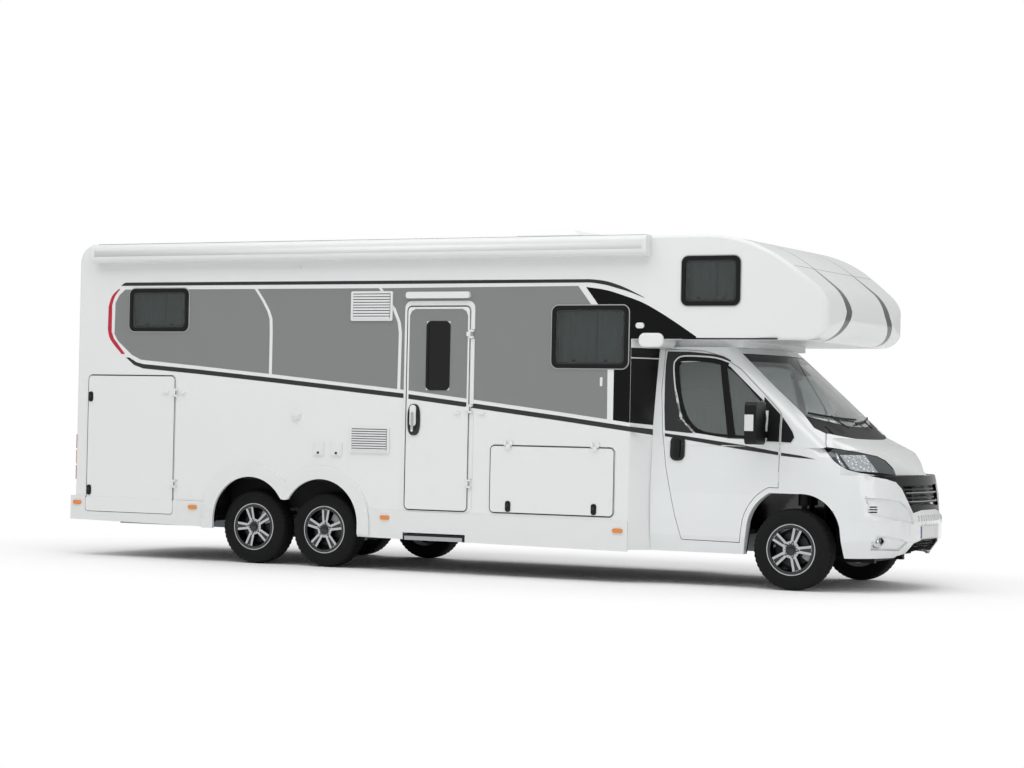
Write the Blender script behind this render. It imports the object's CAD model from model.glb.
# A coachbuilt motorhome dressed for the eye: a long sandwich-panel living body with an
# over-cab alcove, on a tandem-axle chassis behind a white van cab.
# Lengths are metres. X runs forward, Y to the left side, Z up, and the ground is at zero.

import math

import bpy
from mathutils import Matrix, Vector


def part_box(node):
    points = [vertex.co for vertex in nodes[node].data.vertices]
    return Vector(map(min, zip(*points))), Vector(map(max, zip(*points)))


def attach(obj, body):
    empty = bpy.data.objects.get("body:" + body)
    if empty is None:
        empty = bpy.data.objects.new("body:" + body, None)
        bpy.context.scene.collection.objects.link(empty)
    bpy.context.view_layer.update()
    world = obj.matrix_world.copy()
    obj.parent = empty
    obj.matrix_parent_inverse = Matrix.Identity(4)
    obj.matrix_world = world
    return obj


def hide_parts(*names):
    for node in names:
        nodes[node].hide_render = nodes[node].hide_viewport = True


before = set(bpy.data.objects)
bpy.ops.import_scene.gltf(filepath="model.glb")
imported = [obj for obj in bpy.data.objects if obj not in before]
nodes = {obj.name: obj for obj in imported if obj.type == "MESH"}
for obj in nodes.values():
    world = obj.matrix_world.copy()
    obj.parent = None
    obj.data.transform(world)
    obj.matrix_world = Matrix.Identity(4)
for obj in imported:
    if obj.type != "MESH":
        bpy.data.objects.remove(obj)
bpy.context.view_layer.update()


# ---- Walls and roof of the living body ------------------------------------------------
# Sandwich panels 34 mm thick with a white gelcoat skin of glass-reinforced plastic,
# glued along rounded corner rails. The skin is glossy and very slightly wavy.

def linear(code):
    """An sRGB hex colour as linear RGBA."""
    parts = [int(code[i:i + 2], 16) / 255 for i in (1, 3, 5)]
    return [c / 12.92 if c <= 0.04045 else ((c + 0.055) / 1.055) ** 2.4 for c in parts] + [1.0]


def put(tree, node, values):
    """Set a node's sockets: an output socket is linked, anything else is the value."""
    for name, value in values.items():
        if isinstance(value, bpy.types.NodeSocket):
            tree.links.new(value, node.inputs[name])
        else:
            node.inputs[name].default_value = value
    return node


def add(tree, kind, values=None, **settings):
    """Add one node with its settings and its sockets."""
    node = tree.nodes.new(kind)
    for name, value in settings.items():
        setattr(node, name, value)
    return put(tree, node, values or {})


def surface(name, code, roughness, grain=0.0, depth=0.0, spread=0.05, **sockets):
    """A finish with its own grain: size of the grain and depth of its relief in metres."""
    made = bpy.data.materials.new(name)
    made.use_nodes = True
    tree = made.node_tree
    shader = tree.nodes["Principled BSDF"]
    put(tree, shader, {"Base Color": linear(code), "Roughness": roughness})
    put(tree, shader, {key.replace("_", " "): value for key, value in sockets.items()})
    if grain:
        place = add(tree, "ShaderNodeTexCoord")
        noise = add(tree, "ShaderNodeTexNoise", {
            "Vector": place.outputs["Object"], "Scale": 1.0 / grain, "Detail": 4.0})
        gloss = add(tree, "ShaderNodeMapRange", {
            "Value": noise.outputs["Fac"], "To Min": roughness - spread,
            "To Max": roughness + spread})
        bump = add(tree, "ShaderNodeBump", {
            "Height": noise.outputs["Fac"], "Strength": 1.0, "Distance": depth})
        put(tree, shader, {"Roughness": gloss.outputs["Result"], "Normal": bump.outputs["Normal"]})
    return made


def whereabouts(made):
    """A finish's tree with sockets for X, the distance from the middle plane, and Z."""
    tree = made.node_tree
    spot = add(tree, "ShaderNodeSeparateXYZ",
               {0: add(tree, "ShaderNodeTexCoord").outputs["Object"]})
    across = add(tree, "ShaderNodeMath", {0: spot.outputs["Y"]}, operation="ABSOLUTE")
    return tree, spot.outputs["X"], across.outputs[0], spot.outputs["Z"]


def inside(tree, *boxes):
    """A mask of one inside any of the boxes, each a list of ranges (value, low, high)."""
    mask = 0.0
    for box in boxes:
        within = 1.0
        for value, low, high in box:
            near = add(tree, "ShaderNodeMath", {0: value, 1: (low + high) / 2,
                                                2: (high - low) / 2}, operation="COMPARE")
            within = add(tree, "ShaderNodeMath", {0: near.outputs[0], 1: within},
                         operation="MULTIPLY").outputs[0]
        mask = add(tree, "ShaderNodeMath", {0: within, 1: mask}, operation="MAXIMUM").outputs[0]
    return mask


def tint(made, *coats):
    """Colour a finish by masks: each later (mask, colour) lies over the ones before."""
    tree = made.node_tree
    socket = tree.nodes["Principled BSDF"].inputs["Base Color"]
    for mask, code in coats:
        under = socket.links[0].from_socket if socket.links else tuple(socket.default_value)
        mix = add(tree, "ShaderNodeMix", {0: mask, 6: under, 7: linear(code)}, data_type="RGBA")
        tree.links.new(mix.outputs[2], socket)


def dress(finish, *names):
    """Give CAD nodes a finish."""
    for name in names:
        mesh = nodes[name].data
        mesh.materials.clear()
        mesh.materials.append(finish)


FAR = 9.0                       # further out than any point of the vehicle
WHITE = "#E9EBEB"
GELCOAT = dict(roughness=0.22, grain=0.35, depth=0.0006, spread=0.04, Coat_Weight=0.35)
# Polished gelcoat: soft, clear highlights that sway a little with the panel.
gelcoat = surface("white_gelcoat", WHITE, **GELCOAT)
dress(gelcoat, "rear_wall", "roof", "garage_door_right", "garage_door_left", "bay_flap",
      "gas_locker_door", "entrance_door")

# The alcove cap has two dark bands over its nose, thin lines on the roof that swell into
# blades on the face, and one joint across where the roof part meets the face.
BAND_Y = 0.53
BAND_START = 2.85               # where the bands begin on the roof
NOSE_JOINT = 2.842              # height of the joint across the nose
JOINT_HALF = 0.0035
JOINT_END = 1.03                # the joint stops before the cap's side
alcove_skin = surface("alcove_gelcoat", WHITE, **GELCOAT)
tree, x, across, z = whereabouts(alcove_skin)
swell, taper, drift = [
    add(tree, "ShaderNodeMapRange", {"Value": z, "From Min": top, "From Max": foot,
                                     "To Min": low, "To Max": high}).outputs[0]
    for top, foot, low, high in ((2.87, 2.50, 0.011, 0.074), (2.40, 2.19, 0.0, 0.040),
                                 (2.46, 2.22, 0.0, 0.17))]
wide = add(tree, "ShaderNodeMath", {0: swell, 1: taper}, operation="SUBTRACT")
middle = add(tree, "ShaderNodeMath", {0: drift, 1: BAND_Y}, operation="ADD")
on_band = add(tree, "ShaderNodeMath", {0: across, 1: middle.outputs[0], 2: wide.outputs[0]},
              operation="COMPARE")
band_mask = add(tree, "ShaderNodeMath", {0: on_band.outputs[0],
                                         1: inside(tree, [(x, BAND_START, FAR)])},
                operation="MULTIPLY")
joint = inside(tree, [(z, NOSE_JOINT - JOINT_HALF, NOSE_JOINT + JOINT_HALF),
                      (across, 0.0, JOINT_END)])
tint(alcove_skin, (joint, "#A4A6A6"), (band_mask.outputs[0], "#101112"))
dress(alcove_skin, "alcove_shell")


# ---- Side graphics --------------------------------------------------------------------
# Cast vinyl films, a grey field between two black stripes with a red clasp at the rear,
# a black field towards the cab. They are laid on the wall, and on the door's leaf apart.
axle_low, axle_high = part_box("tyre_front_right")
axle_x = (axle_low[0] + axle_high[0]) / 2
half_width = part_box("rear_wall")[1][1]
SIDES = ((-1, "right"), (1, "left"))


def pick(piece):
    """Make one piece the selected and active one."""
    bpy.ops.object.select_all(action="DESELECT")
    piece.select_set(True)
    bpy.context.view_layer.objects.active = piece
    return piece


def linked(name, data):
    """A new object in the scene, selected and active."""
    piece = bpy.data.objects.new(name, data)
    bpy.context.scene.collection.objects.link(piece)
    return pick(piece)


def settle(piece):
    """Put the piece's place into its mesh."""
    pick(piece)
    bpy.ops.object.transform_apply(location=True, rotation=True, scale=True)
    return piece


def modify(piece, kind, **settings):
    """Add one modifier and apply it."""
    pick(piece)
    bpy.ops.object.modifier_add(type=kind)
    modifier = piece.modifiers[-1]
    for name, value in settings.items():
        setattr(modifier, name, value)
    bpy.ops.object.modifier_apply(modifier=modifier.name)
    return piece


def take(piece, tool):
    """Take a tool's shape away from a piece, and remove the tool."""
    modify(piece, "BOOLEAN", operation="DIFFERENCE", object=tool, solver="EXACT")
    bpy.data.objects.remove(tool, do_unlink=True)
    return piece


def cube(low, high):
    """A plain box between two corners, to cut with."""
    bpy.ops.object.select_all(action="DESELECT")
    centre = [(a + b) / 2 for a, b in zip(low, high)]
    bpy.ops.mesh.primitive_cube_add(size=1, location=centre)
    piece = bpy.context.object
    piece.scale = [b - a for a, b in zip(low, high)]
    return settle(piece)


def mend(piece, *jobs):
    """Run mesh operators over the whole of a piece, each given with its settings."""
    pick(piece)
    bpy.ops.object.mode_set(mode="EDIT")
    for job, settings in jobs:
        bpy.ops.mesh.select_all(action="SELECT")
        job(**settings)
    bpy.ops.object.mode_set(mode="OBJECT")
    return piece


WELD = (bpy.ops.mesh.remove_doubles, {"threshold": 0.00002})
OUTWARD = (bpy.ops.mesh.normals_make_consistent, {"inside": False})


def filled(name, rings, extrude=0.0):
    """A flat mesh filled between outlines, lying in X and Y; inner rings are holes."""
    curve = bpy.data.curves.new(name, "CURVE")
    curve.dimensions = "2D"
    curve.fill_mode = "BOTH"
    curve.extrude = extrude
    for ring in rings:
        spline = curve.splines.new("POLY")
        spline.points.add(len(ring) - 1)
        for point, (u, v) in zip(spline.points, ring):
            point.co = (u, v, 0, 1)
        spline.use_cyclic_u = True
    linked(name, curve)
    bpy.ops.object.convert(target="MESH")
    return bpy.context.object


def prism(name, rings, low, high, axis="y"):
    """A slab cut to outlines, from low to high along an axis.
    Outlines are (x, z) across y, (y, z) across x, and (x, y) across z."""
    piece = filled(name, rings, (high - low) / 2)
    turns = {"y": (math.pi / 2, 0, 0), "x": (math.pi / 2, 0, math.pi / 2), "z": (0, 0, 0)}
    piece.rotation_euler = turns[axis]
    piece.location = [(low + high) / 2 if letter == axis else 0 for letter in "xyz"]
    return mend(settle(piece), WELD, OUTWARD)


def wear(piece, finish, body):
    """Give a piece its finish, the body it rides on and its slot in the record."""
    piece.data.materials.clear()
    piece.data.materials.append(finish)
    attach(piece, body)
    return piece


def placed(points):
    """Points measured from the front axle, moved to their place."""
    return [(axle_x + x, z) for x, z in points]


def bow(points, steps=8):
    """Round a run of points into a smooth line through them."""
    line = [Vector(p) for p in points]
    smooth = []
    for i in range(len(line) - 1):
        a, b = line[i], line[i + 1]
        slope_a = (b - line[max(i - 1, 0)]) / 2
        slope_b = (line[min(i + 2, len(line) - 1)] - a) / 2
        for k in range(steps):
            t = k / steps
            smooth.append(a * (2 * t**3 - 3 * t**2 + 1) + slope_a * (t**3 - 2 * t**2 + t)
                          + b * (3 * t**2 - 2 * t**3) + slope_b * (t**3 - t**2))
    return [tuple(p) for p in smooth + [line[-1]]]


# Cast film: flat and satin, the grey nearly matt and the dark ones with a low shine.
vinyl_grey = surface("grey_vinyl_film", "#828483", 0.34, grain=0.02, depth=0.00001, spread=0.02)
vinyl_black = surface("black_vinyl_film", "#060607", 0.22, grain=0.02, depth=0.00001, spread=0.02,
                      Specular_IOR_Level=0.2)
vinyl_stripe = surface("charcoal_vinyl_film", "#262728", 0.25, grain=0.06, depth=0.00004)
vinyl_red = surface("red_vinyl_film", "#BC1E38", 0.25, grain=0.06, depth=0.00004)

FILM = 0.0008
FILM_LIFT = 0.0007              # middle of the film outside the wall's skin
LEAF_PROUD = 0.008              # doors and flaps stand this far out of the wall
leaf_y = half_width + LEAF_PROUD
SEAM_1 = [(-5.503, 2.664), (-5.42, 2.555), (-5.355, 2.450), (-5.326, 2.375), (-5.320, 2.25),
          (-5.320, 1.845)]
SEAM_2 = [(-4.113, 2.662), (-4.03, 2.56), (-3.959, 2.470), (-3.900, 2.340), (-3.885, 2.238),
          (-3.891, 1.705)]
SEAM_GAP = 0.034
FIELD_TOP = 2.668
STRIPE_LOW = [(-7.011, 1.990), (-6.969, 1.990), (-6.884, 1.945), (-6.800, 1.926),
              (-6.140, 1.877), (-5.249, 1.801), (-3.786, 1.668), (-3.139, 1.596),
              (-2.185, 1.488), (-1.262, 1.376)]
STRIPE_LOW_WIDE = 0.044
FIELD_FOOT = 0.035              # white line between the fields and the lower stripe


def foot(x, below=0.0):
    """The point at x on the fields' lower edge, or some way below it."""
    at = STRIPE_LOW[-1][1]
    for (x0, z0), (x1, z1) in zip(STRIPE_LOW, STRIPE_LOW[1:]):
        if x0 <= x <= x1:
            at = z0 + (z1 - z0) * (x - x0) / (x1 - x0)
            break
    return (x, at + FIELD_FOOT - below)


def ahead_of(seam):
    """The edge of the field in front of a seam, down to the fields' foot."""
    return [(x + SEAM_GAP, z) for x, z in seam[:-1]] + [foot(seam[-1][0] + SEAM_GAP)]


rear_edge = [(-7.036, FIELD_TOP), (-7.105, 2.613), (-7.152, 2.535), (-7.157, 2.225),
             (-7.113, 2.156), (-6.941, 2.018), (-6.829, 1.969)]
field_rear = rear_edge + [foot(-6.142), foot(SEAM_1[-1][0])] + SEAM_1[-2::-1]
field_middle = ahead_of(SEAM_1) + [foot(SEAM_2[-1][0])] + SEAM_2[-2::-1]
field_front = ahead_of(SEAM_2) + [foot(-3.139), foot(-2.185), foot(-1.715), (-1.724, 2.285),
                                  (-2.026, FIELD_TOP)]
stripe_upper = ([(-7.089, 2.705), (-7.060, 2.727), (-7.031, 2.738)]
                + bow([(-1.990, 2.729), (-1.890, 2.727), (-1.752, 2.710), (-1.638, 2.678),
                       (-1.524, 2.634), (-1.371, 2.561)])
                + bow([(-1.371, 2.558), (-1.524, 2.613), (-1.638, 2.645), (-1.752, 2.675),
                       (-1.889, 2.696), (-1.990, 2.698)]) + [(-7.031, 2.705)])
stripe_lower = STRIPE_LOW + [(x, z - STRIPE_LOW_WIDE) for x, z in STRIPE_LOW[:2:-1]] + [
    (-6.911, 1.916)]
clasp = (bow([(-7.116, 2.675), (-7.196, 2.604), (-7.236, 2.501)], 4)
         + bow([(-7.240, 2.271), (-7.205, 2.167), (-7.065, 2.024)], 4)
         + [(-7.023, 2.024)] + bow([(-7.163, 2.179), (-7.192, 2.248)], 2)
         + bow([(-7.193, 2.512), (-7.161, 2.599), (-7.097, 2.675)], 4))
field_black = bow([(-1.948, 2.658), (-1.751, 2.630), (-1.568, 2.578), (-1.387, 2.515),
                   (-1.206, 2.422), (-1.027, 2.315), (-0.865, 2.212)], 5) + [
    (-0.865, 2.190), (-1.492, 2.190), foot(-1.492), foot(-1.656), (-1.656, 2.285)]

WINDOWS = {                     # rear x, front x, low z, high z, from the front axle
    -1: [(-6.972, -6.267, 2.251, 2.675), (-2.280, -1.518, 1.923, 2.490)],
    1: [(-6.972, -6.267, 2.251, 2.675), (-4.400, -3.900, 1.960, 2.430),
        (-2.650, -1.618, 1.823, 2.490)],
}
WINDOW_LAP = 0.012              # how far the film runs under a window's frame
DOOR = (-3.789, -3.120, 0.585, 2.490)
DOOR_GAP = 0.020
DOOR_PANE = (-3.579, -3.330, 1.707, 2.350)


def film_on(name, ring, face, holes, finish, body):
    """A film cut to an outline on the face at y, with its holes cut out."""
    y = face + math.copysign(FILM_LIFT, face)
    piece = prism(name, [placed(ring)], y - FILM / 2, y + FILM / 2)
    xs, zs = zip(*ring)
    for x0, x1, z0, z1 in holes:
        if x0 < max(xs) and x1 > min(xs) and z0 < max(zs) and z1 > min(zs):
            take(piece, cube((axle_x + x0, y - 0.01, z0), (axle_x + x1, y + 0.01, z1)))
    wear(piece, finish, body)


for side, side_name in SIDES:
    holes = [(x0 + WINDOW_LAP, x1 - WINDOW_LAP, z0 + WINDOW_LAP, z1 - WINDOW_LAP)
             for x0, x1, z0, z1 in WINDOWS[side]]
    if side < 0:
        holes.append((DOOR[0] - DOOR_GAP, DOOR[1] + DOOR_GAP, DOOR[2], DOOR[3] + DOOR_GAP))
    for name, ring, finish in (
            ("field_rear", field_rear, vinyl_grey), ("field_middle", field_middle, vinyl_grey),
            ("field_front", field_front, vinyl_grey), ("stripe_upper", stripe_upper, vinyl_stripe),
            ("stripe_lower", stripe_lower, vinyl_stripe), ("clasp", clasp, vinyl_red),
            ("field_black", field_black, vinyl_black)):
        film_on(f"{name}_{side_name}", ring, side * half_width, holes, finish, "coach")

leaf_rear, leaf_front = DOOR[0] + 0.026, DOOR[1] - 0.026
film_on("door_field", [foot(leaf_rear), foot(leaf_front), (leaf_front, 2.40),
                       (leaf_front - 0.02, 2.444), (leaf_front - 0.06, 2.464),
                       (leaf_rear + 0.06, 2.464), (leaf_rear + 0.02, 2.444), (leaf_rear, 2.40)],
        -leaf_y, [DOOR_PANE], vinyl_grey, "entrance_door")
stripe_foot = FIELD_FOOT + STRIPE_LOW_WIDE
film_on("door_stripe", [foot(leaf_rear, stripe_foot), foot(leaf_front, stripe_foot),
                        foot(leaf_front, FIELD_FOOT), foot(leaf_rear, FIELD_FOOT)],
        -leaf_y, [], vinyl_stripe, "entrance_door")


# ---- Trim along the living body ----------------------------------------------------------
# White ABS skirts, thermoformed and bonded on below the wall, with a double wheel-arch
# trim; the same white sheet makes the rear bumper, the vents, the flaps and the gutter.
# Thermoformed ABS has a fine grain that spreads the highlights.
white_abs = surface("white_abs_sheet", "#E6E8E8", 0.30, grain=0.02, depth=0.00005, spread=0.05)
dress(white_abs, "side_skirts", "rear_bumper", "side_fittings", "roof_hatches")
# Sealant and rubber are matt and finely pitted.
joint_black = surface("black_sealant", "#131414", 0.55, grain=0.004, depth=0.0001)
# Eroded moulding grain looks dull, and the lock's polished barrel shines.
lock_black = surface("black_moulded_plastic", "#0D0E0E", 0.42, grain=0.0015, depth=0.00008,
                     Specular_IOR_Level=0.3)
lock_gloss = surface("black_lock_barrel", "#161718", 0.2, grain=0.01, depth=0.00002)


def arc(u, v, radius, start, sweep, steps=8):
    """Points along an arc about (u, v), its start and sweep in degrees."""
    angles = [math.radians(start + sweep * k / steps) for k in range(steps + 1)]
    return [(u + radius * math.cos(a), v + radius * math.sin(a)) for a in angles]


def circle(u, v, radius, steps=40):
    return arc(u, v, radius, 0, 360, steps)[:-1]


def rounded(x0, x1, z0, z1, radius, steps=6, inset=0.0):
    """Outline of a rectangle with round corners, drawn in by an inset."""
    x0, x1, z0, z1 = x0 + inset, x1 - inset, z0 + inset, z1 - inset
    return (arc(x1 - radius, z1 - radius, radius, 0, 90, steps)
            + arc(x0 + radius, z1 - radius, radius, 90, 90, steps)
            + arc(x0 + radius, z0 + radius, radius, 180, 90, steps)
            + arc(x1 - radius, z0 + radius, radius, 270, 90, steps))


def smooth(piece, degrees):
    """Shade smooth over edges flatter than an angle."""
    pick(piece)
    bpy.ops.object.shade_smooth_by_angle(angle=math.radians(degrees))
    return piece


def soften(piece, width):
    """Round a piece's sharp edges and shade it smooth."""
    modify(piece, "BEVEL", width=width, segments=2, limit_method="ANGLE",
           angle_limit=math.radians(35))
    return smooth(piece, 40)


def slab(name, rings, ends, round_by, finish, slot="black_plastic", body="coach", axis="y"):
    """A prism between two ends with its edges rounded and its finish on. The loops below
    give round_by, finish, slot and body as one run of looks."""
    piece = prism(name, rings, min(ends), max(ends), axis)
    if round_by:
        soften(piece, round_by)
    return wear(piece, finish, body)


def fit(name, rings, depth, side, y, *looks, **more):
    """A slab standing on one side at y, depth proud of it, measured from the front axle."""
    return slab(name, [placed(ring) for ring in rings], (side * y, side * (y + depth)),
                *looks, **more)


# Black locks with a push button, on the leaves of the doors and flaps.
for name, x, z, side, body in (
        ("garage_lock_upper_right", -7.422, 1.595, -1, "garage_door_right"),
        ("garage_lock_lower_right", -7.423, 0.659, -1, "garage_door_right"),
        ("garage_lock_upper_left", -7.422, 1.595, 1, "garage_door_left"),
        ("garage_lock_lower_left", -7.423, 0.659, 1, "garage_door_left"),
        ("bay_lock_rear", -2.695, 0.650, -1, "bay_flap"),
        ("bay_lock_front", -1.827, 0.650, -1, "bay_flap"),
        ("gas_lock", -2.520, 0.920, 1, "gas_locker_door")):
    fit(name + "_case", [rounded(x - 0.026, x + 0.026, z - 0.050, z + 0.050, 0.022)],
        0.008, side, leaf_y, 0.003, lock_black, body=body)
    fit(name + "_button", [rounded(x - 0.014, x + 0.014, z - 0.005, z + 0.030, 0.013)],
        0.013, side, leaf_y, 0.003, lock_gloss, body=body)

# Lids of the two service flaps with their locks, and the water filler's cap.
for k, middle in enumerate((-4.738, -4.538)):
    fit(f"service_lid_{k}", [rounded(middle - 0.052, middle + 0.052, 1.073, 1.193, 0.008)],
        0.004, -1, half_width + 0.010, 0.0015, white_abs, "white_plastic")
    fit(f"service_lid_lock_{k}", [rounded(middle - 0.012, middle + 0.012, 1.082, 1.106, 0.011)],
        0.004, -1, half_width + 0.014, 0.001, lock_black)

# Slats of the two vents over a dark backing.
VENT_FACE = half_width + 0.014
SLATS = 9
SLAT_GAP = 0.008
for name, *vent in (("vent_upper", -4.382, -3.977, 2.375, 2.611),
                    ("vent_lower", -4.369, -3.986, 1.127, 1.333)):
    x0, x1, z0, z1 = vent
    fit(name + "_backing", [rounded(*vent, 0.004)], 0.001, -1, VENT_FACE, 0.0003, joint_black)
    pitch = (z1 - z0) / SLATS
    for k in range(SLATS):
        low = z0 + k * pitch
        fit(f"{name}_slat_{k}", [rounded(x0 + 0.002, x1 - 0.002, low, low + pitch - SLAT_GAP,
                                         0.002)],
            0.004, -1, VENT_FACE + 0.0009, 0.0015, white_abs, "white_plastic")

fit("water_filler_cap", [circle(-4.996, 1.444, 0.040)], 0.010, -1, half_width + 0.012, 0.0015,
    white_abs, "white_plastic")
fit("water_filler_grip", [rounded(-5.028, -4.964, 1.436, 1.452, 0.007)], 0.008, -1,
    half_width + 0.022, 0.002, white_abs, "white_plastic")

# Dark rubber edges round the doors and flaps, and the drip edge under the alcove's sides.
LEAF_CORNER = 0.045
for name, side, body, *leaf in (
        ("entrance_edge_seal", -1, "entrance_door", *DOOR),
        ("garage_edge_seal_right", -1, "garage_door_right", -7.458, -6.406, 0.449, 1.812),
        ("garage_edge_seal_left", 1, "garage_door_left", -7.458, -6.406, 0.449, 1.812),
        ("bay_edge_seal", -1, "bay_flap", -2.889, -1.633, 0.588, 1.208),
        ("gas_edge_seal", 1, "gas_locker_door", -2.600, -1.990, 0.588, 1.240)):
    rings = [rounded(*leaf, LEAF_CORNER - inset, inset=inset) for inset in (0.0005, 0.0065)]
    fit(name, rings, 0.0008, side, leaf_y, 0, joint_black, body=body)
edge_y, edge_z = 1.133, 2.217   # middle of the rounding along the alcove's lower edge
for side, side_name in SIDES:
    ring = arc(edge_y, edge_z, 0.0334, -62, 30, 6) + arc(edge_y, edge_z, 0.0322, -32, -30, 6)
    slab(f"alcove_drip_edge_{side_name}", [[(side * y, z) for y, z in ring]], (2.36, 3.26), 0,
         joint_black, axis="x")

# Covers over the hinges of the garage and entrance doors: small white wedges.
for name, x, z, side, body, y in (
        ("garage_hinge_leaf_right", -6.509, 1.646, -1, "garage_door_right", leaf_y),
        ("garage_hinge_wall_right", -6.309, 1.645, -1, "coach", half_width),
        ("garage_hinge_leaf_left", -6.509, 1.646, 1, "garage_door_left", leaf_y),
        ("garage_hinge_wall_left", -6.309, 1.645, 1, "coach", half_width),
        ("entrance_hinge_leaf", -3.235, 1.500, -1, "entrance_door", leaf_y),
        ("entrance_hinge_wall", -2.985, 1.500, -1, "coach", half_width)):
    fit(name, [rounded(x - 0.028, x + 0.028, z - 0.012, z + 0.012, 0.008)], 0.016, side, y,
        0.005, white_abs, "white_plastic", body)

# The awning case is an extruded aluminium profile, powder-coated white, with moulded end
# caps and a dark seal where the rolled cloth's front rail meets the case.
awning_low, awning_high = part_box("awning_case")
awning_rear, awning_front, awning_top = awning_low[0], awning_high[0], awning_high[2]
# Powder coat has a fine orange peel that blurs what it mirrors.
powder = surface("white_powder_coat", "#E8EAEA", 0.26, grain=0.003, depth=0.00004)
dress(powder, "awning_case")
for name, y0, y1, z0, z1, inset, finish, slot in (
        ("awning_seal", 0.030, 0.004, awning_top - 0.0005, awning_top + 0.007, 0.02, joint_black,
         "black_plastic"),
        ("awning_front_rail", 0.1215, 0.119, 2.990, 3.050, 0.03, powder, "white_plastic")):
    y0, y1 = -half_width - y0, -half_width - y1
    slab(name, [[(y0, z0), (y1, z0), (y1, z1), (y0, z1)]],
         (awning_rear + inset, awning_front - inset), 0, finish, slot, axis="x")
cap_ring = ([(-half_width + 0.0005, 2.9285), (-half_width + 0.0005, 3.1165)]
            + arc(-half_width - 0.075, 3.070, 0.0465, 90, 90)
            + arc(-half_width - 0.067, 2.983, 0.0545, 180, 90))
for name, ends in (("rear", (awning_rear - 0.010, awning_rear + 0.012)),
                   ("front", (awning_front - 0.012, awning_front + 0.010))):
    slab(f"awning_cap_{name}", [cap_ring], ends, 0.003, white_abs, "white_plastic", axis="x")
fit("awning_bracket", [circle(-5.0, 2.860, 0.022)], 0.012, -1, half_width, 0.003, white_abs,
    "white_plastic")


# ---- Windows of the living body -----------------------------------------------------------
# Double acrylic panes, tinted grey, hinged at the top in black polyurethane frames with a
# pale outer lip. Catches and stays show through the pane; curtains hang behind it.
# Foamed polyurethane: deep black with a low sheen.
frame_black = surface("black_polyurethane", "#0A0B0B", 0.34, grain=0.0015, depth=0.00006,
                      Specular_IOR_Level=0.3)
dress(frame_black, "window_frames")
# Cast acrylic: smooth as glass, with a grey-green tint that dims what is behind it.
acrylic = surface("tinted_acrylic", "#8B9392", 0.05, Transmission_Weight=0.93, IOR=1.49)
dress(acrylic, "window_panes")
# Extruded rubber: an even, half-matt grey.
lip_grey = surface("grey_rubber_lip", "#B9BCBC", 0.4, grain=0.002, depth=0.00005)
# Woven polyester: no shine, with the weave drawn coarse enough to show.
curtain_cloth = surface("pale_grey_curtain", "#C6CBCA", 0.85, grain=0.004, depth=0.0004)
ALCOVE_WINDOW = (-1.011, -0.453, 2.485, 2.925)
WALL = 0.034                    # thickness of the wall
PLEAT = 0.085                   # length of one fold of a curtain
PLEAT_DEPTH = 0.011
PLEAT_STEPS = 14
CURTAIN_ROWS = 10
CLOTH = 0.0008
inside_y = half_width - WALL
hang_y = inside_y - 0.024       # middle of the curtains


def meshed(name, corners, faces):
    mesh = bpy.data.meshes.new(name)
    mesh.from_pydata(corners, [], faces)
    return linked(name, mesh)


for side, side_name in SIDES:
    for k, window in enumerate(WINDOWS[side] + [ALCOVE_WINDOW]):
        x0, x1, z0, z1 = window
        name = f"window_{side_name}_{k}"
        fit(name + "_lip", [rounded(*window, 0.072, 10, -0.010),
                            rounded(*window, 0.062, 10, -0.001)],
            0.004, side, half_width, 0, lip_grey)
        # the inner seal, seen as a darker border through the pane
        fit(name + "_seal", [rounded(*window, 0.040, inset=0.036),
                             rounded(*window, 0.026, inset=0.058)],
            0.002, side, half_width - 0.002, 0, frame_black)
        for j, share in enumerate((0.29, 0.71)):
            x = x0 + (x1 - x0) * share
            fit(f"{name}_catch_{j}", [rounded(x - 0.020, x + 0.014, z0 + 0.050, z0 + 0.078, 0.010)],
                0.016, side, half_width - 0.017, 0.003, lock_black)
        for j, x in enumerate((x0 + 0.060, x1 - 0.060)):
            fit(f"{name}_stay_{j}", [rounded(x - 0.006, x + 0.006, z0 + 0.06,
                                             z0 + 0.06 + 0.42 * (z1 - z0), 0.005)],
                0.010, side, half_width - 0.013, 0.002, lock_black)
        # curtains from a rail fixed to the wall's inner face, drawn from both sides
        fit(name + "_rail", [rounded(x0 - 0.03, x1 + 0.03, z1 + 0.012, z1 + 0.032, 0.006)],
            -0.040, side, inside_y, 0.003, white_abs, "white_plastic")
        middle = x0 + (x1 - x0) * 0.56
        for part, a, b in (("rear", x0 - 0.01, middle - 0.008),
                           ("front", middle + 0.008, x1 + 0.01)):
            a, b = a + axle_x, b + axle_x
            steps = max(24, int((b - a) / PLEAT * PLEAT_STEPS))
            run = []
            for i in range(steps + 1):
                x = a + (b - a) * i / steps
                wave = math.sin(2 * math.pi * (x - a) / PLEAT + 0.6 * math.sin(9 * x))
                run.append((x, side * PLEAT_DEPTH * wave))
            low = z0 - 0.03
            height = z1 + 0.014 - low
            corners = [(x, side * hang_y + y * (1.0 - 0.35 * r / CURTAIN_ROWS),
                        low + height * r / CURTAIN_ROWS)
                       for r in range(CURTAIN_ROWS + 1) for x, y in run]
            faces = []
            for p in range(CURTAIN_ROWS * (steps + 1)):
                if p % (steps + 1) < steps:
                    face = (p, p + 1, p + steps + 2, p + steps + 1)
                    faces.append(face if side < 0 else face[::-1])
            cloth = meshed(f"{name}_curtain_{part}", corners, faces)
            bpy.ops.object.shade_smooth()
            modify(cloth, "SOLIDIFY", thickness=CLOTH, offset=0)
            wear(cloth, curtain_cloth, "coach")


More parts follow.
